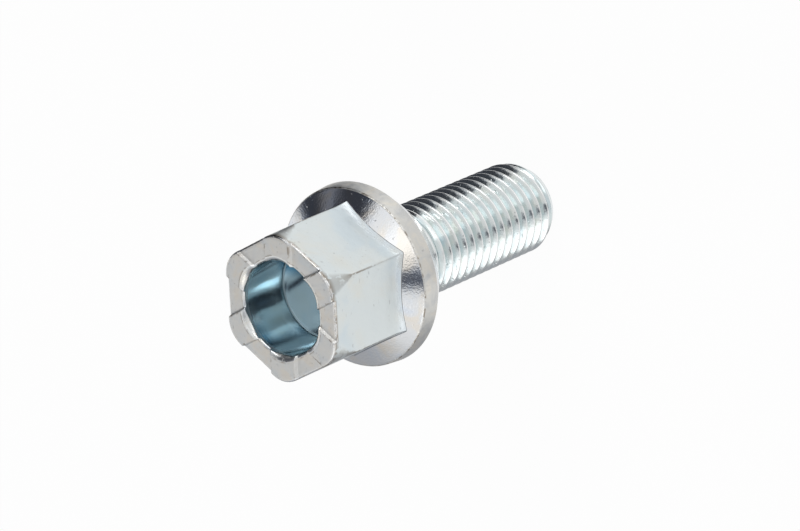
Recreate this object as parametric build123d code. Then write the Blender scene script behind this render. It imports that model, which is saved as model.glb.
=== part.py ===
from build123d import *
import os
from math import cos, radians, sin, sqrt, tan

# A one-piece forged wheel bolt: hollow hexagon head, coned flange, ball seat and
# threaded shank. It is drawn along Z, from the head's end face (z = 0) to the tip,
# and then stood up on its flat tip, because it rolls on its round rim when it lies.
# All lengths are in millimetres and all angles in degrees.

# Hexagon head
ACROSS_FLATS = 17.0
HEX_SIDES = 6
EDGE_RADIUS = 0.3            # on the long edges between two flats
END_CORNER_RADIUS = 3.6      # on the same edges where they reach the end face
CORNER_RUN = 3.5             # length over which the end corners sharpen to EDGE_RADIUS
FLARE_START = 10.2           # from the end face to where the flats begin to flare
FLARE_RADIUS = 14.0

# Raised lands on the end face, one at each corner
LAND_WIDTH = 4.0
LAND_HEIGHT = 0.38

# Round hollow in the head, with a soft six-cornered mouth
RECESS_DIAMETER = 11.9
RECESS_DEPTH = 7.7           # in the middle, from the end face between the lands
RECESS_FLOOR_RISE = 0.7      # how much shallower the dished floor is at the wall
RECESS_FLOOR_RADIUS = 0.3
MOUTH_ACROSS_FLATS = 12.0    # at the top of the lands
MOUTH_CORNER_RADIUS = 3.5
MOUTH_TAPER = 38.0           # slope of the mouth's sides, which run out on the round wall
MOUTH_DEPTH = 0.6            # how deep the mouth's corners reach
LIP_WIDTH = 0.3              # how far the sloping lip widens the mouth
LIP_DEPTH = 0.25

# Ball seat under the flange
SEAT_BALL_RADIUS = 12.0
SEAT_START_ANGLE = 23.5      # where the ball starts, up from its equator
SEAT_STEP = 0.25             # chamfer between rim and ball, along the axis
NECK_RADIUS = 0.8            # fillet between ball and shank

# Flange
FLANGE_FRONT = 13.25         # from the end face to the front edge of the rim
FLANGE_ANGLE = 23.7          # slope of the cone between hexagon and rim
RIM_SHOULDER = 0.6           # how far the rim stands out past the ball seat
RIM_DRAFT = 0.2              # how much narrower the rim is at its front edge
RIM_WIDTH = 2.1
RIM_EDGE_RADIUS = 0.3

# Threaded shank, drawn plain at its major diameter
THREAD_DIAMETER = 12.0
LENGTH = 47.0                # from the end face to the tip
TIP_DIAMETER = 9.8
TIP_CHAMFER = 1.9            # length of the lead-in chamfer

side_angle = 360 / HEX_SIDES
land_top = -LAND_HEIGHT
seat_radius = SEAT_BALL_RADIUS * cos(radians(SEAT_START_ANGLE))
rim_radius = seat_radius + RIM_SHOULDER
rim_front_radius = rim_radius - RIM_DRAFT
rim_back = FLANGE_FRONT + RIM_WIDTH
shank_radius = THREAD_DIAMETER / 2
recess_radius = RECESS_DIAMETER / 2
chamfer_start = LENGTH - TIP_CHAMFER


def hexagon(across_flats, corner_radius=0.0):
    """Hexagon with a corner on the X axis, its corners rounded."""
    outline = RegularPolygon(across_flats / 2, HEX_SIDES, major_radius=False)
    if corner_radius == 0:
        return outline
    return fillet(outline.vertices(), corner_radius)


def at_height(z, sketch):
    return Pos(0, 0, z) * sketch


def flared_prism():
    """The head's flats, which curve outwards where they run into the flange."""
    straight = extrude(at_height(CORNER_RUN, hexagon(ACROSS_FLATS)), FLARE_START - CORNER_RUN)
    flare_length = FLANGE_FRONT - FLARE_START
    foot = extrude(at_height(FLARE_START, hexagon(ACROSS_FLATS + 2 * flare_length)), flare_length)
    roller = Rot(90, 0, 0) * Cylinder(FLARE_RADIUS, 2 * ACROSS_FLATS)
    for side in range(HEX_SIDES):
        turn = Rot(0, 0, (side + 0.5) * side_angle)
        foot -= turn * Pos(ACROSS_FLATS / 2 + FLARE_RADIUS, 0, FLARE_START) * roller
    prism = straight + foot
    long_edges = [edge for edge in prism.edges() if abs((edge @ 1 - edge @ 0).Z) > EDGE_RADIUS]
    return fillet(long_edges, EDGE_RADIUS)


def blunt_end():
    """The end of the head, where the corners grow round towards the end face."""
    round_section = hexagon(ACROSS_FLATS, END_CORNER_RADIUS)
    sharp_section = at_height(CORNER_RUN, hexagon(ACROSS_FLATS, EDGE_RADIUS))
    return loft([round_section, sharp_section], ruled=True)


def corner_bars(top, bottom):
    """Three crossing bars, as wide as the lands, that run from corner to corner."""
    bars = Part()
    bar = Pos(0, 0, (top + bottom) / 2) * Box(2 * ACROSS_FLATS, LAND_WIDTH, bottom - top)
    for pair in range(HEX_SIDES // 2):
        bars += Rot(0, 0, pair * side_angle) * bar
    return bars


def corner_lands():
    """Low parallel-sided lands that run across the end face from corner to corner."""
    return corner_bars(land_top, 0) & extrude(hexagon(ACROSS_FLATS, END_CORNER_RADIUS), land_top)


def mouth_section(z, widening=0.0):
    """The hollow's six-cornered mouth at a height; it narrows with depth."""
    growth = widening - (z - land_top) * tan(radians(MOUTH_TAPER))
    return at_height(z, hexagon(MOUTH_ACROSS_FLATS + 2 * growth, MOUTH_CORNER_RADIUS + growth))


def lip():
    """A slope that breaks the mouth's edge: six-cornered on the lands and round between them."""
    bars = corner_bars(land_top, LIP_DEPTH)
    on_lands = loft([mouth_section(land_top, LIP_WIDTH), mouth_section(land_top + LIP_DEPTH)], ruled=True)
    between = Pos(0, 0, LIP_DEPTH / 2) * Cone(recess_radius + LIP_WIDTH, recess_radius, LIP_DEPTH)
    return (on_lands & bars) + (between - bars)


def recess():
    """The hollow's volume: round cup, tapered mouth and lip."""
    wall_foot = RECESS_DEPTH - RECESS_FLOOR_RISE
    outline = [(0, land_top), (recess_radius, land_top), (recess_radius, wall_foot), (0, RECESS_DEPTH)]
    section = make_face(Polyline(*outline, close=True))
    foot = section.vertices().sort_by_distance((recess_radius, wall_foot, 0))[0]
    cup = revolve(Plane.XZ * fillet(foot, RECESS_FLOOR_RADIUS), Axis.Z)
    mouth = loft([mouth_section(land_top), mouth_section(MOUTH_DEPTH)], ruled=True)
    return cup + mouth + lip()


def turned_body():
    """Flange, ball seat and shank, revolved from one half section."""
    core_radius = ACROSS_FLATS / 2 - EDGE_RADIUS
    core_top = FLANGE_FRONT - (rim_front_radius - core_radius) * tan(radians(FLANGE_ANGLE))
    seat_start = (seat_radius, rim_back + SEAT_STEP)
    ball_centre = seat_start[1] - SEAT_BALL_RADIUS * sin(radians(SEAT_START_ANGLE))
    seat_end = (shank_radius, ball_centre + sqrt(SEAT_BALL_RADIUS**2 - shank_radius**2))
    corners = [
        (shank_radius, chamfer_start),
        (TIP_DIAMETER / 2, LENGTH),
        (0, LENGTH),
        (0, core_top),
        (core_radius, core_top),
        (rim_front_radius, FLANGE_FRONT),
        (rim_radius, rim_back),
        seat_start,
    ]
    outline = Polyline(seat_end, *corners) + RadiusArc(seat_start, seat_end, -SEAT_BALL_RADIUS)
    section = make_face(outline)
    rim_edge = section.vertices().sort_by_distance((rim_front_radius, FLANGE_FRONT, 0))[0]
    section = fillet(rim_edge, RIM_EDGE_RADIUS)
    neck = section.vertices().sort_by_distance((*seat_end, 0))[0]
    section = fillet(neck, NECK_RADIUS)
    return revolve(Plane.XZ * section, Axis.Z)


def stood_up(bolt):
    """Turns the bolt head up, with its tip on the ground plane."""
    return Pos(0, 0, LENGTH) * Rot(180, 0, 0) * bolt


wheel_bolt = blunt_end() + flared_prism() + corner_lands() + turned_body() - recess()

os.makedirs("parts", exist_ok=True)
export_step(stood_up(wheel_bolt), "parts/wheel_bolt.step")
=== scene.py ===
from collections import namedtuple
from math import asin, atan2, cos, degrees, hypot, pi, radians, sin, sqrt, tan

import bpy
from mathutils import Matrix, Vector


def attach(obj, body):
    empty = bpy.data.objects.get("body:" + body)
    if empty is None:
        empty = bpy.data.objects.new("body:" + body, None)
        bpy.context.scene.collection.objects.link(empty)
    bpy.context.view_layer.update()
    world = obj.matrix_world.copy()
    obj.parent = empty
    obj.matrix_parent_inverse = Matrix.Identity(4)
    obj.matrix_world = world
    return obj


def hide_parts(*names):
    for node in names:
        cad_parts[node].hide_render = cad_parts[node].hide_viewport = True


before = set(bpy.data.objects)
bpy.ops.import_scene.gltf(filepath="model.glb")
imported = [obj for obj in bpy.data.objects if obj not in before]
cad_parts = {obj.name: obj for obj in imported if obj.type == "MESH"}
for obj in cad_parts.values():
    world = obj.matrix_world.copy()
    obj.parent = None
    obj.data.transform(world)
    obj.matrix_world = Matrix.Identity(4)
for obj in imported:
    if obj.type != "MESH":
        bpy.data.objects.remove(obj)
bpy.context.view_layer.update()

# Lengths are in millimetres until place() turns them into the frame's metres.
MM = 0.001

# Hexagon head, measured from the end face (z = 0) towards the tip
ACROSS_FLATS = 17.0
SIDES = 6
EDGE_RADIUS = 0.3
END_CORNER_RADIUS = 3.6
CORNER_RUN = 3.5
FLARE_START = 10.2
FLARE_RADIUS = 14.0
END_EDGE_RADIUS = 0.24

# Raised lands on the end face
LAND_WIDTH = 4.0
LAND_HEIGHT = 0.38

# Hollow in the head
RECESS_DIAMETER = 11.9
RECESS_DEPTH = 7.7
RECESS_FLOOR_RISE = 0.7
RECESS_FLOOR_RADIUS = 0.3
MOUTH_ACROSS_FLATS = 12.0
MOUTH_CORNER_RADIUS = 3.5
MOUTH_TAPER = 38.0
MOUTH_DEPTH = 0.6
LIP_WIDTH = 0.3
LIP_DEPTH = 0.25

# Flange, ball seat and neck
SEAT_BALL_RADIUS = 12.0
SEAT_START_ANGLE = 23.5
SEAT_STEP = 0.25
NECK_RADIUS = 0.8
FLANGE_FRONT = 13.25
FLANGE_ANGLE = 23.7
RIM_SHOULDER = 0.6
RIM_DRAFT = 0.2
RIM_WIDTH = 2.1
RIM_EDGE_RADIUS = 0.3
RIM_BACK_RADIUS = 0.15

# Threaded shank
THREAD_DIAMETER = 12.0
THREAD_PITCH = 1.5
THREAD_DEPTH = 0.6134 * THREAD_PITCH    # as a metric thread has it
CREST_FLAT = THREAD_PITCH / 8
CREST_RADIUS = 0.1
ROOT_RADIUS = 0.1443 * THREAD_PITCH
FLANK_ANGLE = 30.0
THREAD_FIRST = 21.9          # where the first groove begins to show
THREAD_FULL = 24.2           # where the grooves reach full depth
LENGTH = 47.0
TIP_DIAMETER = 9.8
TIP_CHAMFER = 1.9
TIP_EDGE = 0.15

# Columns of the skin on one sixth of the head: round its corner, over the side wall of a
# land (offset from the wall's line, share of the land's height) and along half a flat
CORNER_STEPS = (7.5, 15.0, 22.5, 30.0)
WALL_STEPS = ((-0.16, 1.0), (-0.09, 0.97), (-0.04, 0.85), (0.04, 0.15), (0.09, 0.03), (0.16, 0.0))
FLAT_STEPS = (0.2, 0.4, 0.6, 0.8, 1.0)
CORNER_REACH = 1.7           # half the width that the columns round a corner may take

# Rings of the skin: shares of the way over a face, degrees round an edge, heights or radii
FLOOR_SHARES = (0.02, 0.06, 0.12, 0.3, 0.6, 0.85)
RECESS_WALL_SHARES = (0.2, 0.4, 0.6, 0.8, 1.0)
MOUTH_SHARES = (0.15, 0.3, 0.45, 0.6, 0.75, 0.9, 1.0)
LIP_DEGREES = (18, 36, 54, 72, 90)
END_FACE_SHARES = (0.12, 0.35, 0.6, 0.85, 1.0)
END_EDGE_DEGREES = (30, 60, 90)
SIDE_HEIGHTS = (0.5, 1.0, 1.75, 2.6, CORNER_RUN, 5.0, 6.5, 8.0, 9.2, FLARE_START)
FLARE_SHARES = (0.15, 0.3, 0.45, 0.6, 0.72, 0.82, 0.9, 0.95, 1.0)
CONE_SHARES = (0.03, 0.08, 0.18, 0.32, 0.48, 0.64, 0.8, 0.92)
TIP_RADII = (4.0, 2.4, 0.4)
TIP_ROUND = 0.03             # how far the tip's edge is rounded
FILLET_STEPS = 5             # round the foot of the hollow's wall
RIM_EDGE_STEPS = 5
RIM_BACK_STEPS = 4
SEAT_STEPS = 12
NECK_STEPS = 5
FOOT_TRIES = 40              # rounds that settle where a flared flat meets the cone

# Marks on the skin: painted shade in the hollow, and wear on edges
FLOOR_PAINTED_SHADE = (0.61, 1.0)     # painted shade on the hollow's floor, from its one side to the other
FLOOR_PAINTED_SHADE_RUN = (0.1, 0.5)  # where that painted shade grows, in shares of the hollow's radius
# Painted shade and dark reflections in patches on the hollow's wall: direction and half width in
# degrees, and level
WALL_PAINTED_SHADES = ((-30.0, 50.0, 0.68), (-170.0, 36.0, 0.5))
PAINTED_SHADE_CORE = 0.2              # share of a patch that has its full level
RECESS_CREASE_SHADE = 0.8          # level of painted shade, with more roughness, in the corner at the foot of the hollow's wall
BLUNT_WEAR = 0.5             # of the hexagon's long edges, where they are bluntest
WEAR_RUN = (5.0, 8.5)        # heights between which the long edges get less worn
WEAR_LOSS = 0.7              # how much less
LIP_WORN_FROM = 3            # the first worn ring of the lip
RIM_WORN = 3                 # worn rings on each edge of the rim

# Camera
VIEW_AZIMUTH = 28.198
VIEW_ELEVATION = 45.903
VIEW_ROLL = -113.618
VIEW_DISTANCE = 429.43
VIEW_AIM = (-0.841, -0.451, 25.438)
VIEW_LENS = 156.35

half_side = radians(180 / SIDES)
apothem = ACROSS_FLATS / 2
recess_radius = RECESS_DIAMETER / 2
land_half = LAND_WIDTH / 2
seat_radius = SEAT_BALL_RADIUS * cos(radians(SEAT_START_ANGLE))
rim_radius = seat_radius + RIM_SHOULDER
rim_front_radius = rim_radius - RIM_DRAFT
rim_back = FLANGE_FRONT + RIM_WIDTH
shank_radius = THREAD_DIAMETER / 2
tip_radius = TIP_DIAMETER / 2
chamfer_start = LENGTH - TIP_CHAMFER

Column = namedtuple("Column", "kind value land turn")


def place(x, y, z):
    """A point of the drawn bolt, head end first, in the frame: metres, standing on its tip."""
    return Vector((x, -y, LENGTH - z)) * MM


def smooth_step(low, high, value):
    """Rises smoothly from 0 at the low end to 1 at the high end."""
    share = min(max((value - low) / (high - low), 0.0), 1.0)
    return share * share * (3 - 2 * share)


def rounded_corner(before, corner, after, radius, steps):
    """Points on the arc that rounds a corner of a profile."""
    to_before = Vector(before) - Vector(corner)
    to_after = Vector(after) - Vector(corner)
    to_before.normalize()
    to_after.normalize()
    half = to_before.angle(to_after) / 2
    centre = Vector(corner) + (to_before + to_after).normalized() * radius / sin(half)
    start = Vector(corner) + to_before * radius / tan(half) - centre
    end = Vector(corner) + to_after * radius / tan(half) - centre
    arc = [start.normalized().slerp(end.normalized(), step / steps) for step in range(steps + 1)]
    return [tuple(centre + point * radius) for point in arc]


# The columns of the skin


def half_corner():
    """Columns from a corner to the middle of the next flat: kind, place and land share."""
    steps = [("corner", radians(angle), 1.0) for angle in CORNER_STEPS]
    steps += [("wall", land_half + offset, share) for offset, share in WALL_STEPS]
    steps += [("flat", share, 0.0) for share in FLAT_STEPS]
    return steps


def head_columns():
    """All columns of the skin, counter-clockwise round the drawn head."""
    right = half_corner()
    left = [(kind, -value, land) for kind, value, land in reversed(right[:-1])]
    sixth = left + [("corner", 0.0, 1.0)] + right
    return [
        Column(kind, value, land, 2 * half_side * side)
        for side in range(SIDES)
        for kind, value, land in sixth
    ]


columns = head_columns()
column_count = len(columns)
first_angle = -2 * pi * (len(half_corner()) - 1) / column_count
column_angles = [first_angle + 2 * pi * index / column_count for index in range(column_count)]


def on_hexagon(column, flat_distance, corner_radius):
    """Where a column crosses a rounded hexagon, as x and y; a large corner radius makes it round."""
    arc_end = corner_radius * sin(half_side)
    if column.kind == "corner":
        spread = min(1.0, CORNER_REACH / arc_end)
        y = corner_radius * sin(abs(column.value)) * spread
    elif column.kind == "wall":
        y = abs(column.value)
    else:
        start = land_half + WALL_STEPS[-1][0]
        y = start + abs(column.value) * (flat_distance * sin(half_side) - start)
    if y < arc_end:
        x = (flat_distance - corner_radius) / cos(half_side) + sqrt(corner_radius**2 - y**2)
    else:
        x = (flat_distance - y * sin(half_side)) / cos(half_side)
    y = y if column.value > 0 else -y
    turned = (cos(column.turn), sin(column.turn))
    return x * turned[0] - y * turned[1], x * turned[1] + y * turned[0]


def hexagon_ring(flat_distance, corner_radius, z):
    return [(*on_hexagon(column, flat_distance, corner_radius), z) for column in columns]


def round_ring(radius, z):
    return [(radius * cos(angle), radius * sin(angle), z) for angle in column_angles]


def scaled_ring(ring, share):
    return [(x * share, y * share, z) for x, y, z in ring]


# Rings of the hollow in the head


def end_height(column):
    """Height of the end face at a column: on a land, between lands or on a land's wall."""
    return -LAND_HEIGHT * column.land


def cup_ring(radius, z):
    """A round ring of the hollow, with the columns of its mouth."""
    return scaled_ring(hexagon_ring(recess_radius, recess_radius, z), radius / recess_radius)


def cup_rings():
    """From the middle of the hollow's dished floor up its round wall to the foot of the mouth."""
    middle = (0.0, RECESS_DEPTH)
    foot = (recess_radius, RECESS_DEPTH - RECESS_FLOOR_RISE)
    wall_top = (recess_radius, MOUTH_DEPTH)
    fillet = rounded_corner(middle, foot, wall_top, RECESS_FLOOR_RADIUS, FILLET_STEPS)
    floor_x, floor_z = fillet[0]
    rings = []
    for share in FLOOR_SHARES:
        rings.append(cup_ring(share * floor_x, RECESS_DEPTH + share * (floor_z - RECESS_DEPTH)))
    rings += [cup_ring(*point) for point in fillet]
    wall_foot = fillet[-1][1]
    for share in RECESS_WALL_SHARES:
        rings.append(cup_ring(recess_radius, wall_foot + share * (MOUTH_DEPTH - wall_foot)))
    return rings


def on_mouth(column, z, widening=0.0):
    """Where a column crosses the mouth at a height: its tapered sides run out on the round wall."""
    growth = widening - (z + LAND_HEIGHT) * tan(radians(MOUTH_TAPER))
    x, y = on_hexagon(column, MOUTH_ACROSS_FLATS / 2 + growth, MOUTH_CORNER_RADIUS + growth)
    outward = max(1.0, (recess_radius + widening) / hypot(x, y))
    return x * outward, y * outward, z


def mouth_rings():
    """The six-cornered mouth, from the round wall to the foot of the lip."""
    rings = []
    for share in MOUTH_SHARES:
        ring = []
        for column in columns:
            top = end_height(column) + LIP_DEPTH
            ring.append(on_mouth(column, MOUTH_DEPTH + share * (top - MOUTH_DEPTH)))
        rings.append(ring)
    return rings


def lip_rings():
    """The round lip of the mouth, which follows the lands and the ground between them."""
    rings = []
    for angle in map(radians, LIP_DEGREES):
        out = LIP_WIDTH * (1 - cos(angle))
        drop = LIP_DEPTH * (1 - sin(angle))
        rings.append([on_mouth(column, end_height(column) + drop, out) for column in columns])
    return rings


# Rings of the end face and the hexagon's sides


def end_face_rings():
    """The lands and the ground between them, from the lip to the outer edge."""
    outer = apothem - END_EDGE_RADIUS
    outer_corner = END_CORNER_RADIUS - END_EDGE_RADIUS
    rings = []
    for share in END_FACE_SHARES:
        ring = []
        for column in columns:
            top = end_height(column)
            inner_spot = on_mouth(column, top, LIP_WIDTH)
            outer_spot = on_hexagon(column, outer, outer_corner)
            x, y = (near + share * (far - near) for near, far in zip(inner_spot, outer_spot))
            ring.append((x, y, top))
        rings.append(ring)
    return rings


def corner_radius_at(z):
    """Radius on the hexagon's long edges, which sharpen away from the end face."""
    share = min(max(z / CORNER_RUN, 0.0), 1.0)
    return END_CORNER_RADIUS + share * (EDGE_RADIUS - END_CORNER_RADIUS)


def end_edge_rings():
    """The small round edge between the end face and the flats."""
    rings = []
    for angle in map(radians, END_EDGE_DEGREES):
        inset = END_EDGE_RADIUS * (1 - sin(angle))
        drop = END_EDGE_RADIUS * (1 - cos(angle))
        ring = []
        for column in columns:
            z = end_height(column) + drop
            ring.append((*on_hexagon(column, apothem - inset, corner_radius_at(z) - inset), z))
        rings.append(ring)
    return rings


def flat_distance_at(z):
    """Distance of the flats from the axis, which grows where they flare."""
    if z <= FLARE_START:
        return apothem
    return apothem + FLARE_RADIUS - sqrt(FLARE_RADIUS**2 - (z - FLARE_START) ** 2)


def cone_height(radius):
    """Height of the flange's cone at a distance from the axis."""
    return FLANGE_FRONT - (rim_front_radius - radius) * tan(radians(FLANGE_ANGLE))


def foot_of(column):
    """Height where a column of the flared hexagon runs into the cone."""
    z = FLANGE_FRONT
    for _ in range(FOOT_TRIES):
        z = cone_height(hypot(*on_hexagon(column, flat_distance_at(z), EDGE_RADIUS)))
    return z


def side_rings():
    """The flats, from below the end edge to where they flare."""
    return [hexagon_ring(apothem, corner_radius_at(z), z) for z in SIDE_HEIGHTS]


def flare_rings():
    """The flared ends of the flats, down to their foot on the cone."""
    rings = []
    feet = [foot_of(column) for column in columns]
    for share in FLARE_SHARES:
        ring = []
        for column, foot in zip(columns, feet):
            z = FLARE_START + share * (foot - FLARE_START)
            ring.append((*on_hexagon(column, flat_distance_at(z), EDGE_RADIUS), z))
        rings.append(ring)
    return rings


# Rings of the flange, seat and neck


def cone_rings(foot_ring):
    """The cone between the hexagon's foot and the rim, where the columns spread out evenly."""
    outer = rim_profile()[0][0]
    rings = []
    for share in CONE_SHARES:
        ring = []
        for (x, y, _), even in zip(foot_ring, column_angles):
            radius = hypot(x, y) + share * (outer - hypot(x, y))
            own = atan2(y, x)
            apart = (even - own + pi) % (2 * pi) - pi
            angle = own + share * apart
            ring.append((radius * cos(angle), radius * sin(angle), cone_height(radius)))
        rings.append(ring)
    return rings


def rim_profile():
    """Radius and height over the rim, from the cone's end to the start of the ball."""
    front = (rim_front_radius, FLANGE_FRONT)
    back = (rim_radius, rim_back)
    seat_start = (seat_radius, rim_back + SEAT_STEP)
    cone_point = (0.0, cone_height(0.0))
    points = rounded_corner(cone_point, front, back, RIM_EDGE_RADIUS, RIM_EDGE_STEPS)
    points.append(tuple((front[axis] + back[axis]) / 2 for axis in (0, 1)))
    points += rounded_corner(front, back, seat_start, RIM_BACK_RADIUS, RIM_BACK_STEPS)
    return points


def seat_profile():
    """Radius and height over the ball seat and the neck's fillet."""
    ball_centre = rim_back + SEAT_STEP - SEAT_BALL_RADIUS * sin(radians(SEAT_START_ANGLE))
    fillet_x = shank_radius + NECK_RADIUS
    reach = SEAT_BALL_RADIUS + NECK_RADIUS
    fillet_z = ball_centre + sqrt(reach**2 - fillet_x**2)
    end_angle = asin((fillet_z - ball_centre) / reach)
    start_angle = radians(SEAT_START_ANGLE)
    points = []
    for step in range(SEAT_STEPS + 1):
        angle = start_angle + (end_angle - start_angle) * step / SEAT_STEPS
        points.append((SEAT_BALL_RADIUS * cos(angle), ball_centre + SEAT_BALL_RADIUS * sin(angle)))
    for step in range(1, NECK_STEPS + 1):
        angle = pi + end_angle * (1 - step / NECK_STEPS)
        points.append((fillet_x + NECK_RADIUS * cos(angle), fillet_z + NECK_RADIUS * sin(angle)))
    return points


# The thread


def thread_profile():
    """One turn of the thread's section: share of the pitch and depth below the crest."""
    flank = radians(FLANK_ANGLE)
    turn = pi / 2 - flank
    crest_end = CREST_FLAT / 2 - CREST_RADIUS * tan(turn / 2)
    half = [(0.0, 0.0)]
    for angle in (0.0, turn / 2, turn):
        half.append((crest_end + CREST_RADIUS * sin(angle), CREST_RADIUS * (1 - cos(angle))))
    root = []
    for angle in (turn, turn / 2, 0.0):
        offset = THREAD_PITCH / 2 - ROOT_RADIUS * sin(angle)
        root.append((offset, THREAD_DEPTH - ROOT_RADIUS * (1 - cos(angle))))
    half.append(tuple((half[-1][axis] + root[0][axis]) / 2 for axis in (0, 1)))
    half += root
    falling = [(offset / THREAD_PITCH, depth) for offset, depth in half]
    rising = [(1 - share, depth) for share, depth in reversed(falling[1:-1])]
    return falling + rising


def thread_radius(depth, z):
    """Radius of the thread: it runs out at the neck and is chamfered at the tip."""
    radius = shank_radius - depth * smooth_step(THREAD_FIRST, THREAD_FULL, z)
    share = (z - chamfer_start) / TIP_CHAMFER
    return min(radius, shank_radius + share * (tip_radius - shank_radius))


def thread_rows(start, end, profile):
    """Rows that follow the helix; each row climbs one pitch in a turn, held between two heights."""
    turns = int((end - start) / THREAD_PITCH) + 2
    rows = []
    for turn in range(-1, turns):
        for share, depth in profile:
            row = []
            for index, angle in enumerate(column_angles):
                climb = turn + share + index / column_count
                z = min(max(start + THREAD_PITCH * climb, start), end)
                radius = thread_radius(depth, z)
                row.append((radius * cos(angle), radius * sin(angle), z))
            rows.append(row)
    return rows


def tip_rings():
    """The tip's round edge and flat end."""
    rings = [round_ring(tip_radius - TIP_ROUND, LENGTH - TIP_ROUND)]
    rings += [round_ring(radius, LENGTH) for radius in (tip_radius - TIP_EDGE, *TIP_RADII)]
    return rings


# The skin


class Skin:
    """Points and faces of the bolt, with a finish for each face and marks on the points.

    Marks say how worn an edge or a thread's crest is, the lighter crests also standing for dirt
    and painted shade in the roots; where shade is painted into a crease; and how far a point has
    the look of its face's far end: painted shade in the hollow, or a painted sheen at the foot of
    the flared flats.
    """

    def __init__(self):
        self.points = []
        self.faces = []
        self.finishes = []
        self.known = {}
        self.marks = {"wear": [], "crease": [], "reach": []}

    def point(self, spot):
        """Index of a point; points in the same spot are one point."""
        key = tuple(round(value, 5) for value in spot)
        if key not in self.known:
            self.known[key] = len(self.points)
            self.points.append(place(*spot))
            for levels in self.marks.values():
                levels.append(0.0)
        return self.known[key]

    def face(self, spots, finish):
        corners = []
        for spot in spots:
            index = self.point(spot)
            if index not in corners:
                corners.append(index)
        if len(corners) > 2:
            self.faces.append(corners)
            self.finishes.append(finish)

    def mark(self, name, ring, level):
        """Marks the points of a ring with one level, or with a level for each column."""
        levels = level if isinstance(level, list) else [level] * len(ring)
        marks = self.marks[name]
        for spot, value in zip(ring, levels):
            index = self.point(spot)
            marks[index] = max(marks[index], value)

    def bridge(self, rings, finish):
        """Faces between neighbouring rings."""
        for lower, upper in zip(rings, rings[1:]):
            for index in range(column_count):
                after = (index + 1) % column_count
                self.face((lower[index], lower[after], upper[after], upper[index]), finish)

    def helix(self, rows, rows_per_turn, finish):
        """Faces between rows that climb one pitch in each turn."""
        for lower in range(len(rows) - rows_per_turn - 1):
            for index in range(column_count):
                after = (index + 1) % column_count
                climb = rows_per_turn if after == 0 else 0
                self.face(
                    (
                        rows[lower][index],
                        rows[lower + climb][after],
                        rows[lower + climb + 1][after],
                        rows[lower + 1][index],
                    ),
                    finish,
                )

    def cap(self, ring, finish):
        """A fan that closes a small ring."""
        middle = (0.0, 0.0, ring[0][2])
        for index in range(column_count):
            self.face((ring[index], ring[(index + 1) % column_count], middle), finish)


def edge_wear(z):
    """Wear of each column down the hexagon at a height: on its long edges, where they are sharp."""
    blunt = (corner_radius_at(z) - EDGE_RADIUS) / (END_CORNER_RADIUS - EDGE_RADIUS)
    left = 1 - WEAR_LOSS * smooth_step(*WEAR_RUN, z)
    level = ((1 - blunt) ** 2 + BLUNT_WEAR * blunt) * left
    fall = pi / 2 / half_side    # brings the wear to nothing at the last column of a corner
    return [level * cos(fall * column.value) if column.kind == "corner" else 0.0 for column in columns]


def land_wear():
    """Wear of each column on the end face: on the edges of the lands."""
    edges = [column.kind == "wall" and column.land > 0.5 for column in columns]
    return [column.land if edge else 0.0 for column, edge in zip(columns, edges)]


def floor_painted_shade(ring):
    """Painted shade of each column on the hollow's floor, which is darker to one side."""
    low, high = FLOOR_PAINTED_SHADE
    grown = [smooth_step(*FLOOR_PAINTED_SHADE_RUN, x / recess_radius) for x, _, _ in ring]
    return [low + (high - low) * share for share in grown]


def wall_painted_shade(ring):
    """Painted shade of each column on the hollow's wall, which is darker in patches."""
    levels = []
    for x, y, _ in ring:
        patches = []
        for direction, half, level in WALL_PAINTED_SHADES:
            apart = abs((degrees(atan2(y, x)) - direction + 180) % 360 - 180)
            patches.append(level * (1 - smooth_step(PAINTED_SHADE_CORE * half, half, apart)))
        levels.append(max(patches))
    return levels


def mark_skin(skin, recess, lip, end_face, end_edge, sides, flare, rim, thread):
    """Marks the bolt's worn edges and thread crests, the painted shade in its creases and hollow, and
    the reach of the painted sheen on its flare.
    """
    fillet = len(FLOOR_SHARES)
    wall = fillet + FILLET_STEPS
    # the reach mark paints shade on the hollow's floor and on patches of its wall
    for ring in recess[:fillet + FILLET_STEPS // 2]:
        skin.mark("reach", ring, floor_painted_shade(ring))
    for ring in recess[wall:]:
        skin.mark("reach", ring, wall_painted_shade(ring))
    # painted shade in the corner at the foot of the hollow's wall
    for ring in recess[fillet + 1:wall]:
        skin.mark("crease", ring, RECESS_CREASE_SHADE)
    for ring in end_face[1:-1]:
        skin.mark("wear", ring, land_wear())
    for ring in end_edge[1:] + lip[LIP_WORN_FROM:]:
        skin.mark("wear", ring, 1.0)
    for ring in sides + flare:
        skin.mark("wear", ring, edge_wear(ring[0][2]))
    # a painted sheen that grows towards the foot of the flared flats
    for ring, share in zip(flare, FLARE_SHARES):
        skin.mark("reach", ring, share)
    # painted shade in the crease where the flared flats meet the cone
    skin.mark("crease", flare[-1], 1.0)
    for ring in rim[1:1 + RIM_WORN] + rim[-RIM_WORN:]:
        skin.mark("wear", ring, 1.0)
    # thread crests marked lighter than the roots: wear on the crests, dirt and painted shade in the
    # roots
    for row, depth in thread:
        skin.mark("wear", row, 1 - depth / THREAD_DEPTH)


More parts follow.
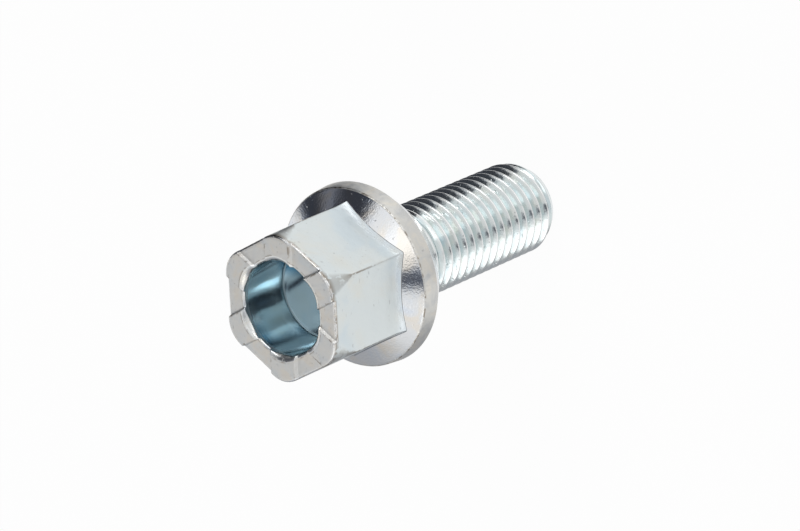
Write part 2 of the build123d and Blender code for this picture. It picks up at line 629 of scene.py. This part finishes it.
def bolt_skin():
    """The whole bolt as one closed skin."""
    skin = Skin()
    recess = cup_rings()
    mouth = mouth_rings()
    lip = lip_rings()
    end_face = end_face_rings()
    end_edge = end_edge_rings()
    sides = side_rings()
    flare = flare_rings()
    cone = cone_rings(flare[-1])
    rim = [round_ring(*point) for point in rim_profile()]
    seat = [round_ring(*point) for point in seat_profile()]
    neck_end = seat[-1][0][2]
    tip_start = LENGTH - TIP_EDGE
    profile = thread_profile()
    thread = thread_rows(neck_end, tip_start, profile)
    tip = [round_ring(thread_radius(0.0, tip_start), tip_start)] + tip_rings()

    skin.cap(recess[0], "recess")
    skin.bridge(recess, "recess")
    skin.bridge([recess[-1]] + mouth + lip, "lip")
    skin.bridge([lip[-1]] + end_face, "end_face")
    skin.bridge([end_face[-1]] + end_edge, "end_edge")
    skin.bridge([end_edge[-1]] + sides, "flats")
    skin.bridge([sides[-1]] + flare, "flats")
    skin.bridge([flare[-1]] + cone + [rim[0]], "cone")
    skin.bridge(rim, "rim")
    skin.bridge([rim[-1]] + seat, "seat")
    skin.helix(thread, len(profile), "thread")
    skin.bridge(tip, "tip")
    skin.cap(tip[-1], "tip")

    crests = [(row, profile[index % len(profile)][1]) for index, row in enumerate(thread)]
    mark_skin(skin, recess, lip, end_face, end_edge, sides, flare, rim, crests)
    return skin


def build_bolt(materials):
    """The bolt's mesh, with a material for each finish and the marks on its points."""
    skin = bolt_skin()
    mesh = bpy.data.meshes.new("wheel_bolt_skin")
    mesh.from_pydata(skin.points, [], skin.faces)
    for material in materials.values():
        mesh.materials.append(material)
    order = {name: index for index, name in enumerate(materials)}
    mesh.polygons.foreach_set("material_index", [order[name] for name in skin.finishes])
    mesh.polygons.foreach_set("use_smooth", [True] * len(mesh.polygons))
    for name, levels in skin.marks.items():
        mesh.attributes.new(name, "FLOAT", "POINT").data.foreach_set("value", levels)
    mesh.update()
    bolt = bpy.data.objects.new("wheel_bolt_skin", mesh)
    bpy.context.scene.collection.objects.link(bolt)
    return bolt


# Materials: one zinc plating over surfaces that were forged, turned or rolled

PER_MM = 1000.0              # turns the frame's metres into millimetres for the textures
MICRON = 1e-6

# Tones of wear, of painted shade in creases, of pits and of scuffs, and how strongly they show
BROWN = (0.3, 0.26, 0.215)
BRIGHT = (0.88, 0.89, 0.89)
# painted shade laid into creases
CREASE_SHADE = (0.07, 0.07, 0.075)
PIT = (0.3, 0.3, 0.3)
SCUFF = (0.42, 0.41, 0.4)
DENT_SHARE = 0.3             # in pits and scuffs
MARK_SHARE = 0.9             # in wear and in painted crease shade

# Levels between which a cast or a mark comes in
COOL_CLOUDS = (0.5, 0.68)
WARM_CLOUDS = (0.5, 0.34)
FAR_LEVELS = (0.25, 0.95)
CREASE_LEVELS = (0.2, 0.9)

# Textures: for scuffs and wear, the noise that starts them, what a full share takes off it
# and how softly they begin
FINE_CLOUDS = 3.0            # how much finer the clouds in the roughness are
PIT_SIZES = (0.1, 0.22)      # the smallest pit and the spread of sizes, in cells
LINE_STRETCH = (0.06, 0.06, 1.0)
SCUFF_TURNS = ((20.0, 35.0, 50.0), (-40.0, 65.0, -25.0))
SCUFF_STRETCH = (1.0, 2.8, 2.8)
SCUFF_DEPTH = 14.0           # in microns
SCUFF_START = (0.76, 0.3, 0.05)
WEAR_SCALE = 1.3
WEAR_START = (0.8, 0.6, 0.12)

# What dents and creases add to the roughness, and the least that it may be
DENT_ROUGHNESS = 0.12
CREASE_ROUGHNESS = 0.3
LEAST_ROUGHNESS = 0.03

# What a finish holds: its colour with a cool and a warm cast, roughness and its spread, and
# patches per mm; scale per mm and depth in microns of its grain and of its turning lines;
# scale, share and depth of its pits; share of scuffs; tone, sharpness and share of its wear;
# colour and roughness at its far end, where it has one, which paints shade in the hollow and at the
# foot of the mouth and a sheen on the flats; and the painted shade in its creases
Finish = namedtuple(
    "Finish",
    "colour cool warm roughness spread clouds grain lines pits scuffs wear far crease",
    defaults=(None, CREASE_SHADE),
)
finishes = {
    # recess: its far colour is painted shade on the hollow's floor and wall, its crease tone painted
    # shade at the foot of the wall
    "recess": Finish(
        (0.68, 0.78, 0.81), (0.625, 0.755, 0.805), (0.69, 0.78, 0.78), 0.09, 0.08, 0.35,
        grain=(1.2, 6.0), lines=(5.0, 9.0), pits=(1.5, 0.08, 12.0), scuffs=0.1,
        wear=(BRIGHT, 1.0, 0.0), far=((0.06, 0.15, 0.225), 0.24), crease=(0.2, 0.285, 0.33),
    ),
    # lip: its far colour carries the hollow wall's painted shade onto the foot of the mouth
    "lip": Finish(
        (0.74, 0.75, 0.74), (0.68, 0.71, 0.73), (0.78, 0.76, 0.7), 0.28, 0.14, 0.6,
        grain=(1.6, 30.0), lines=(2.0, 2.0), pits=(1.6, 0.3, 30.0), scuffs=0.2,
        wear=(BROWN, 2.0, 0.25), far=((0.7, 0.71, 0.71), 0.25),
    ),
    "end_face": Finish(
        (0.685, 0.682, 0.665), (0.64, 0.66, 0.67), (0.7, 0.67, 0.62), 0.5, 0.18, 0.4,
        grain=(1.9, 44.0), lines=(2.0, 0.0), pits=(1.8, 0.32, 34.0), scuffs=0.2,
        wear=(BROWN, 1.5, 0.55),
    ),
    "end_edge": Finish(
        (0.74, 0.74, 0.73), (0.72, 0.74, 0.76), (0.7, 0.66, 0.6), 0.24, 0.16, 0.9,
        grain=(1.6, 40.0), lines=(2.0, 0.0), pits=(1.4, 0.4, 40.0), scuffs=0.3,
        wear=(BROWN, 1.0, 0.5),
    ),
    # flats: their far colour is a painted sheen on the flared foot
    "flats": Finish(
        (0.73, 0.78, 0.785), (0.68, 0.755, 0.79), (0.745, 0.765, 0.735), 0.34, 0.18, 0.15,
        grain=(0.8, 38.0), lines=(1.2, 1.5), pits=(0.9, 0.13, 36.0), scuffs=0.17,
        wear=(BROWN, 1.2, 0.75), far=((0.79, 0.85, 0.885), 0.15),
    ),
    "cone": Finish(
        (0.76, 0.775, 0.79), (0.7, 0.75, 0.82), (0.8, 0.765, 0.71), 0.08, 0.1, 0.3,
        grain=(4.2, 13.0), lines=(2.5, 4.0), pits=(2.4, 0.16, 18.0), scuffs=0.1,
        wear=(BRIGHT, 1.0, 0.0), far=((0.76, 0.775, 0.79), 0.08),
    ),
    "rim": Finish(
        (0.69, 0.685, 0.66), (0.6, 0.61, 0.61), (0.74, 0.715, 0.66), 0.4, 0.2, 0.55,
        grain=(1.1, 60.0), lines=(2.0, 5.0), pits=(1.0, 0.2, 40.0), scuffs=0.15,
        wear=(BROWN, 1.3, 0.5),
    ),
    "seat": Finish(
        (0.75, 0.765, 0.775), (0.7, 0.75, 0.8), (0.78, 0.76, 0.72), 0.14, 0.1, 0.35,
        grain=(1.5, 12.0), lines=(3.0, 7.0), pits=(1.6, 0.25, 20.0), scuffs=0.2,
        wear=(BRIGHT, 1.0, 0.0),
    ),
    # thread: crests lighter than roots, for wear on the crests, dirt and painted shade in the roots
    "thread": Finish(
        (0.665, 0.745, 0.75), (0.63, 0.735, 0.765), (0.7, 0.745, 0.715), 0.13, 0.12, 0.5,
        grain=(1.0, 30.0), lines=(2.5, 3.0), pits=(1.5, 0.25, 20.0), scuffs=0.15,
        wear=(BRIGHT, 3.0, 0.9),
    ),
    "tip": Finish(
        (0.72, 0.725, 0.725), (0.69, 0.72, 0.74), (0.74, 0.72, 0.69), 0.32, 0.14, 0.4,
        grain=(1.5, 36.0), lines=(2.0, 0.0), pits=(1.2, 0.3, 36.0), scuffs=0.3,
        wear=(BROWN, 1.0, 0.3),
    ),
}
Masks = namedtuple("Masks", "pits scuffs wear crease far")


def add_node(tree, kind, **settings):
    node = tree.nodes.new(kind)
    for name, value in settings.items():
        setattr(node, name, value)
    return node


def feed(tree, socket, value):
    """Sets a socket to a plain value or links another socket to it."""
    if isinstance(value, bpy.types.NodeSocket):
        tree.links.new(value, socket)
    else:
        socket.default_value = value


def math_node(tree, operation, *values):
    node = add_node(tree, "ShaderNodeMath", operation=operation)
    for socket, value in zip(node.inputs, values):
        feed(tree, socket, value)
    return node.outputs[0]


def new_group(name, inputs, outputs):
    """An empty shader group with named sockets; a socket is a colour where its name says so."""
    tree = bpy.data.node_groups.new(name, "ShaderNodeTree")
    for direction, names in (("INPUT", inputs), ("OUTPUT", outputs)):
        for socket in names:
            kind = "NodeSocketColor" if socket.endswith("Colour") else "NodeSocketFloat"
            tree.interface.new_socket(socket, in_out=direction, socket_type=kind)
    given = tree.nodes.new("NodeGroupInput").outputs
    made = tree.nodes.new("NodeGroupOutput").inputs
    return tree, given, made


def use_group(tree, group, **values):
    """Places a shader group; an input's name is written with an underscore for each space."""
    node = add_node(tree, "ShaderNodeGroup", node_tree=group)
    for name, value in values.items():
        feed(tree, node.inputs[name.replace("_", " ")], value)
    return node.outputs


def opaque(colour):
    return (*colour, 1.0)


def bolt_space(tree, stretch=(1.0, 1.0, 1.0)):
    """A place on the bolt in millimetres, stretched along its axes if asked."""
    node = add_node(tree, "ShaderNodeVectorMath", operation="MULTIPLY")
    tree.links.new(tree.nodes.new("ShaderNodeTexCoord").outputs["Object"], node.inputs[0])
    node.inputs[1].default_value = [PER_MM * share for share in stretch]
    return node.outputs[0]


def noise_node(tree, space, scale, detail, distortion=0.0):
    node = tree.nodes.new("ShaderNodeTexNoise")
    tree.links.new(space, node.inputs["Vector"])
    feed(tree, node.inputs["Scale"], scale)
    node.inputs["Detail"].default_value = detail
    node.inputs["Distortion"].default_value = distortion
    return node.outputs["Fac"]


def fade(tree, value, start, end):
    """A smooth step from 0 at the start to 1 at the end, which may lie below the start."""
    node = add_node(tree, "ShaderNodeMapRange", interpolation_type="SMOOTHSTEP")
    feed(tree, node.inputs["Value"], value)
    feed(tree, node.inputs["From Min"], start)
    feed(tree, node.inputs["From Max"], end)
    return node.outputs["Result"]


def above(tree, noise, share, levels):
    """The peaks of a noise; the larger the share, the lower they start."""
    level, drop, softness = levels
    start = math_node(tree, "SUBTRACT", level, math_node(tree, "MULTIPLY", share, drop))
    return fade(tree, noise, start, math_node(tree, "ADD", start, softness))


def mix_colour(tree, share, first, second):
    node = add_node(tree, "ShaderNodeMix", data_type="RGBA")
    colours = [socket for socket in node.inputs if socket.type == "RGBA"]
    feed(tree, node.inputs[0], share)
    for socket, value in zip(colours, (first, second)):
        feed(tree, socket, value)
    return next(socket for socket in node.outputs if socket.type == "RGBA")


def plating_group():
    """Zinc plating whose colour drifts between a cool and a warm cast."""
    tree, given, made = new_group(
        "plating", ("Colour", "Cool Colour", "Warm Colour", "Scale"), ("Cast Colour", "Cloud")
    )
    cloud = noise_node(tree, bolt_space(tree), given["Scale"], detail=4.0, distortion=0.6)
    cool = fade(tree, cloud, *COOL_CLOUDS)
    warm = fade(tree, cloud, *WARM_CLOUDS)
    colour = mix_colour(tree, cool, given["Colour"], given["Cool Colour"])
    colour = mix_colour(tree, warm, colour, given["Warm Colour"])
    tree.links.new(colour, made["Cast Colour"])
    fine_scale = math_node(tree, "MULTIPLY", given["Scale"], FINE_CLOUDS)
    fine = noise_node(tree, bolt_space(tree), fine_scale, detail=5.0)
    both = math_node(tree, "ADD", fine, cloud)
    tree.links.new(math_node(tree, "DIVIDE", both, 2.0), made["Cloud"])
    return tree


def grain_group():
    """Fine unevenness of a forged or rolled surface."""
    tree, given, made = new_group("grain", ("Scale",), ("Height",))
    tree.links.new(noise_node(tree, bolt_space(tree), given["Scale"], detail=5.0), made["Height"])
    return tree


def pits_group():
    """Small pits and nicks, some cells with one and some without."""
    tree, given, made = new_group("pits", ("Scale", "Share"), ("Mask",))
    cells = tree.nodes.new("ShaderNodeTexVoronoi")
    tree.links.new(bolt_space(tree), cells.inputs["Vector"])
    tree.links.new(given["Scale"], cells.inputs["Scale"])
    split = tree.nodes.new("ShaderNodeSeparateColor")
    tree.links.new(cells.outputs["Color"], split.inputs["Color"])
    chosen = math_node(tree, "LESS_THAN", split.outputs["Red"], given["Share"])
    smallest, spread = PIT_SIZES
    size = math_node(tree, "MULTIPLY_ADD", split.outputs["Green"], spread, smallest)
    pit = fade(tree, cells.outputs["Distance"], size, 0.0)
    tree.links.new(math_node(tree, "MULTIPLY", pit, chosen), made["Mask"])
    return tree


def lines_group():
    """Fine lines round the bolt, left by turning and drawing."""
    tree, given, made = new_group("turning_lines", ("Scale",), ("Height",))
    space = bolt_space(tree, LINE_STRETCH)
    tree.links.new(noise_node(tree, space, given["Scale"], detail=3.0), made["Height"])
    return tree


def scuffs_group():
    """Short scuffs that lie in two directions."""
    tree, given, made = new_group("scuffs", ("Share",), ("Mask",))
    masks = []
    for turn in SCUFF_TURNS:
        space = add_node(tree, "ShaderNodeMapping", vector_type="POINT")
        tree.links.new(bolt_space(tree), space.inputs["Vector"])
        space.inputs["Rotation"].default_value = [radians(angle) for angle in turn]
        space.inputs["Scale"].default_value = SCUFF_STRETCH
        streaks = noise_node(tree, space.outputs["Vector"], 1.0, detail=2.0)
        masks.append(above(tree, streaks, given["Share"], SCUFF_START))
    tree.links.new(math_node(tree, "MAXIMUM", *masks), made["Mask"])
    return tree


def wear_group():
    """Broken-up wear on edges that stand out."""
    tree, given, made = new_group("edge_wear", ("Exposure", "Sharpness", "Share"), ("Mask",))
    edge = math_node(tree, "POWER", given["Exposure"], given["Sharpness"])
    broken = noise_node(tree, bolt_space(tree), WEAR_SCALE, detail=5.0, distortion=0.5)
    patchy = above(tree, broken, given["Share"], WEAR_START)
    tree.links.new(math_node(tree, "MULTIPLY", edge, patchy), made["Mask"])
    return tree


def mark_level(tree, name):
    """Level of a mark that the skin carries on its points."""
    return add_node(tree, "ShaderNodeAttribute", attribute_name=name).outputs["Fac"]


def zinc_masks(tree, finish, groups):
    """Where a finish has pits, scuffs, worn edges and shade painted into creases, and where its far
    end begins.
    """
    pit_scale, pit_share, _ = finish.pits
    _, sharpness, wear_share = finish.wear
    exposure = mark_level(tree, "wear")
    wear = use_group(
        tree, groups["edge_wear"], Exposure=exposure, Sharpness=sharpness, Share=wear_share
    )
    return Masks(
        pits=use_group(tree, groups["pits"], Scale=pit_scale, Share=pit_share)["Mask"],
        scuffs=use_group(tree, groups["scuffs"], Share=finish.scuffs)["Mask"],
        wear=wear["Mask"],
        crease=fade(tree, mark_level(tree, "crease"), *CREASE_LEVELS),
        far=fade(tree, mark_level(tree, "reach"), *FAR_LEVELS) if finish.far else None,
    )


def zinc_height(tree, finish, groups, masks):
    """Height of the surface in microns: its grain and lines, less its pits and scuffs."""
    grain_scale, grain_depth = finish.grain
    line_scale, line_depth = finish.lines
    pit_depth = finish.pits[-1]
    grain = use_group(tree, groups["grain"], Scale=grain_scale)["Height"]
    lines = use_group(tree, groups["lines"], Scale=line_scale)["Height"]
    height = math_node(tree, "MULTIPLY", grain, grain_depth)
    height = math_node(tree, "MULTIPLY_ADD", lines, line_depth, height)
    height = math_node(tree, "MULTIPLY_ADD", masks.pits, -pit_depth, height)
    return math_node(tree, "MULTIPLY_ADD", masks.scuffs, -SCUFF_DEPTH, height)


def zinc_colour(tree, finish, masks, colour):
    """The plating's colour, with the finish's far end and the tone of each mark over it: the far end
    paints shade in the hollow and a sheen on the flats, and the crease tone paints shade.
    """
    if finish.far:
        colour = mix_colour(tree, masks.far, colour, opaque(finish.far[0]))
    for mask, share, tone in (
        (masks.pits, DENT_SHARE, PIT),
        (masks.scuffs, DENT_SHARE, SCUFF),
        (masks.wear, MARK_SHARE, finish.wear[0]),
        (masks.crease, MARK_SHARE, finish.crease),
    ):
        colour = mix_colour(tree, math_node(tree, "MULTIPLY", mask, share), colour, opaque(tone))
    return colour


def zinc_roughness(tree, finish, masks, cloud):
    """Roughness that drifts with the plating's clouds and is higher in dents and creases."""
    least = finish.roughness - finish.spread / 2
    rough = math_node(tree, "MULTIPLY_ADD", cloud, finish.spread, least)
    if finish.far:
        change = finish.far[1] - finish.roughness
        rough = math_node(tree, "MULTIPLY_ADD", masks.far, change, rough)
    dents = math_node(tree, "ADD", masks.pits, masks.scuffs)
    rough = math_node(tree, "MULTIPLY_ADD", dents, DENT_ROUGHNESS, rough)
    rough = math_node(tree, "MULTIPLY_ADD", masks.crease, CREASE_ROUGHNESS, rough)
    return math_node(tree, "MAXIMUM", rough, LEAST_ROUGHNESS)


def zinc(name, finish, groups):
    """Zinc plating with the finish's own casts, grain, lines, pits, scuffs and edge wear."""
    material = bpy.data.materials.new("zinc_" + name)
    material.use_nodes = True
    tree = material.node_tree
    plating = use_group(
        tree,
        groups["plating"],
        Colour=opaque(finish.colour),
        Cool_Colour=opaque(finish.cool),
        Warm_Colour=opaque(finish.warm),
        Scale=finish.clouds,
    )
    masks = zinc_masks(tree, finish, groups)
    colour = zinc_colour(tree, finish, masks, plating["Cast Colour"])
    roughness = zinc_roughness(tree, finish, masks, plating["Cloud"])
    bump = tree.nodes.new("ShaderNodeBump")
    bump.inputs["Distance"].default_value = MICRON
    tree.links.new(zinc_height(tree, finish, groups, masks), bump.inputs["Height"])
    shader = tree.nodes["Principled BSDF"]
    shader.inputs["Metallic"].default_value = 1.0
    tree.links.new(colour, shader.inputs["Base Color"])
    tree.links.new(roughness, shader.inputs["Roughness"])
    tree.links.new(bump.outputs["Normal"], shader.inputs["Normal"])
    return material


def bolt_materials():
    groups = {
        "plating": plating_group(),
        "grain": grain_group(),
        "pits": pits_group(),
        "lines": lines_group(),
        "scuffs": scuffs_group(),
        "edge_wear": wear_group(),
    }
    return {name: zinc(name, finish, groups) for name, finish in finishes.items()}


# Stage: floor, light and camera

WHITE = (1.0, 1.0, 1.0)
FLOOR_SIZE = 3.0
FLOOR_COLOUR = (0.9, 0.9, 0.9)
FLOOR_WHITE_SHARE = 0.95
CLIP_START = 0.01

# How the bolt lies in the studio: tilt of its axis from the table, and roll about it
LYING_TILT = 10.66
LYING_ROLL = 167.9

# Parts of the studio: level of light, then middle and half width of its window in degrees
# (azimuth, elevation) and the softness of its edge
BASE_LEVEL = 0.8
STUDIO_PARTS = (
    ("table", 0.92, 0.0, 400.0, -60.0, 54.0, 2.0),
    ("table_under_bolt", 0.4, 0.0, 400.0, -90.0, 46.0, 14.0),
    ("table_left", 1.45, -57.0, 19.0, -30.0, 18.0, 4.0),
    ("table_front", 1.2, 27.0, 9.0, -13.0, 6.0, 4.0),
    ("overhead", 1.0, 0.0, 400.0, 84.0, 20.0, 8.0),
    ("front_softbox", 1.5, -8.0, 26.0, 58.0, 17.0, 6.0),
    ("top_left_softbox", 4.0, -110.0, 28.0, 63.0, 7.0, 3.0),
    ("left_backdrop", 1.0, -104.0, 12.0, 20.0, 12.0, 5.0),
    ("left_softbox", 1.3, -93.0, 8.0, 17.0, 8.0, 4.0),
    ("right_softbox", 0.9, 85.0, 36.0, 26.0, 15.0, 6.0),
    ("right_top_softbox", 1.5, 100.0, 18.0, 50.0, 7.0, 4.0),
    ("dark_left", 0.05, -141.0, 23.0, 17.0, 27.0, 4.0),
    ("dark_back", 0.035, 168.0, 30.0, 32.0, 42.0, 4.0),
    ("gap_in_dark", 0.2, -146.0, 4.0, 10.0, 8.0, 3.0),
    ("camera_side", 0.75, -50.0, 14.0, 16.0, 18.0, 5.0),
    ("dark_camera_side", 0.03, -50.0, 13.0, 7.0, 4.5, 4.5),
    ("table_edge_left", 0.1, -78.0, 14.0, 1.0, 5.0, 3.0),
    ("table_edge_right", 0.08, 45.0, 14.0, -1.0, 2.5, 2.0),
)
WINDOW_EDGES = ("Middle Azimuth", "Half Azimuth", "Middle Elevation", "Half Elevation", "Softness")
DARK_TINT = (0.86, 0.92, 1.12)
DARK_LEVELS = (0.0, 0.6)     # between which the tint of the dark parts fades


def studio_turn():
    """Turns directions of the frame into those of the studio, whose table runs beside the bolt."""
    lie = Matrix.Rotation(radians(90 + LYING_TILT), 3, "Y")
    roll = Matrix.Rotation(radians(LYING_ROLL), 3, "Z")
    stand = Matrix.Diagonal((1.0, -1.0, -1.0))
    return (lie @ roll @ stand).to_euler()


def studio_direction(tree):
    """Azimuth and elevation of a direction in the studio, in degrees."""
    turn = add_node(tree, "ShaderNodeMapping", vector_type="POINT")
    turn.inputs["Rotation"].default_value = studio_turn()
    tree.links.new(tree.nodes.new("ShaderNodeTexCoord").outputs["Generated"], turn.inputs["Vector"])
    split = tree.nodes.new("ShaderNodeSeparateXYZ")
    tree.links.new(turn.outputs["Vector"], split.inputs[0])
    x, y, z = split.outputs
    azimuth = math_node(tree, "ARCTAN2", x, math_node(tree, "MULTIPLY", y, -1.0))
    elevation = math_node(tree, "ARCSINE", z)
    return math_node(tree, "DEGREES", azimuth), math_node(tree, "DEGREES", elevation)


def angle_window_group():
    """A soft-edged window in the studio's surroundings, in degrees round and above the bolt."""
    tree, given, made = new_group("angle_window", ("Azimuth", "Elevation", *WINDOW_EDGES), ("Mask",))
    masks = []
    for angle in ("Azimuth", "Elevation"):
        apart = math_node(tree, "SUBTRACT", given[angle], given["Middle " + angle])
        apart = math_node(tree, "ABSOLUTE", math_node(tree, "WRAP", apart, 180.0, -180.0))
        outer = math_node(tree, "ADD", given["Half " + angle], given["Softness"])
        inner = math_node(tree, "SUBTRACT", given["Half " + angle], given["Softness"])
        masks.append(fade(tree, apart, outer, inner))
    tree.links.new(math_node(tree, "MULTIPLY", *masks), made["Mask"])
    return tree


def studio_level(tree):
    """Level of the studio's light; each part lies over those before it."""
    window = angle_window_group()
    azimuth, elevation = studio_direction(tree)
    level = BASE_LEVEL
    for name, light, *edges in STUDIO_PARTS:
        part = add_node(tree, "ShaderNodeGroup", node_tree=window, label=name)
        for socket, value in zip(part.inputs, (azimuth, elevation, *edges)):
            feed(tree, socket, value)
        mix = add_node(tree, "ShaderNodeMix", data_type="FLOAT")
        tree.links.new(part.outputs["Mask"], mix.inputs["Factor"])
        feed(tree, mix.inputs["A"], level)
        mix.inputs["B"].default_value = light
        level = mix.outputs["Result"]
    return level


def show_camera(tree, shown, share, others):
    """A shader that the camera sees, by a share, laid over one for all other light."""
    path = tree.nodes.new("ShaderNodeLightPath")
    pick = tree.nodes.new("ShaderNodeMixShader")
    camera_share = math_node(tree, "MULTIPLY", path.outputs["Is Camera Ray"], share)
    tree.links.new(camera_share, pick.inputs["Fac"])
    tree.links.new(others.outputs[0], pick.inputs[1])
    tree.links.new(shown.outputs[0], pick.inputs[2])
    return pick.outputs[0]


def studio_world():
    """Soft studio light all round, with a plain white background for the camera."""
    world = bpy.data.worlds.new("studio")
    bpy.context.scene.world = world
    world.use_nodes = True
    tree = world.node_tree
    tree.nodes.clear()
    level = studio_level(tree)
    lit = fade(tree, level, *DARK_LEVELS)
    surroundings = tree.nodes.new("ShaderNodeBackground")
    tree.links.new(level, surroundings.inputs["Strength"])
    tint = mix_colour(tree, lit, opaque(DARK_TINT), opaque(WHITE))
    tree.links.new(tint, surroundings.inputs["Color"])
    background = tree.nodes.new("ShaderNodeBackground")
    background.inputs["Color"].default_value = opaque(WHITE)
    out = tree.nodes.new("ShaderNodeOutputWorld")
    tree.links.new(show_camera(tree, background, 1.0, surroundings), out.inputs["Surface"])


def floor_material():
    """White to the camera, a little darker where the bolt keeps the light off."""
    material = bpy.data.materials.new("pale_floor")
    material.use_nodes = True
    tree = material.node_tree
    tree.nodes.clear()
    matt = tree.nodes.new("ShaderNodeBsdfDiffuse")
    matt.inputs["Color"].default_value = opaque(FLOOR_COLOUR)
    white = tree.nodes.new("ShaderNodeEmission")
    white.inputs["Strength"].default_value = 1.0
    out = tree.nodes.new("ShaderNodeOutputMaterial")
    tree.links.new(show_camera(tree, white, FLOOR_WHITE_SHARE, matt), out.inputs["Surface"])
    return material


def build_floor():
    half = FLOOR_SIZE / 2
    corners = [(-half, -half, 0), (half, -half, 0), (half, half, 0), (-half, half, 0)]
    mesh = bpy.data.meshes.new("floor")
    mesh.from_pydata(corners, [], [(0, 1, 2, 3)])
    mesh.materials.append(floor_material())
    floor = bpy.data.objects.new("floor", mesh)
    floor.visible_glossy = False
    bpy.context.scene.collection.objects.link(floor)


def build_camera():
    """The photo's view: the bolt stands, and the camera is rolled about its line of sight."""
    azimuth, elevation = radians(VIEW_AZIMUTH), radians(VIEW_ELEVATION)
    back = Vector((sin(azimuth) * cos(elevation), -cos(azimuth) * cos(elevation), sin(elevation)))
    level = Vector((cos(azimuth), sin(azimuth), 0.0))
    upward = back.cross(level)
    roll = radians(VIEW_ROLL)
    right = level * cos(roll) + upward * sin(roll)
    up = back.cross(right)
    turn = Matrix((right, up, back)).transposed().to_4x4()
    eye = (Vector(VIEW_AIM) + back * VIEW_DISTANCE) * MM
    data = bpy.data.cameras.new("photo_view")
    data.lens = VIEW_LENS
    data.clip_start = CLIP_START
    camera = bpy.data.objects.new("photo_view", data)
    camera.matrix_world = Matrix.Translation(eye) @ turn
    bpy.context.scene.collection.objects.link(camera)
    bpy.context.scene.camera = camera


bolt = build_bolt(bolt_materials())
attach(bolt, "root")
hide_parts("wheel_bolt")
build_floor()
studio_world()
build_camera()
bpy.context.scene.view_settings.view_transform = "Standard"
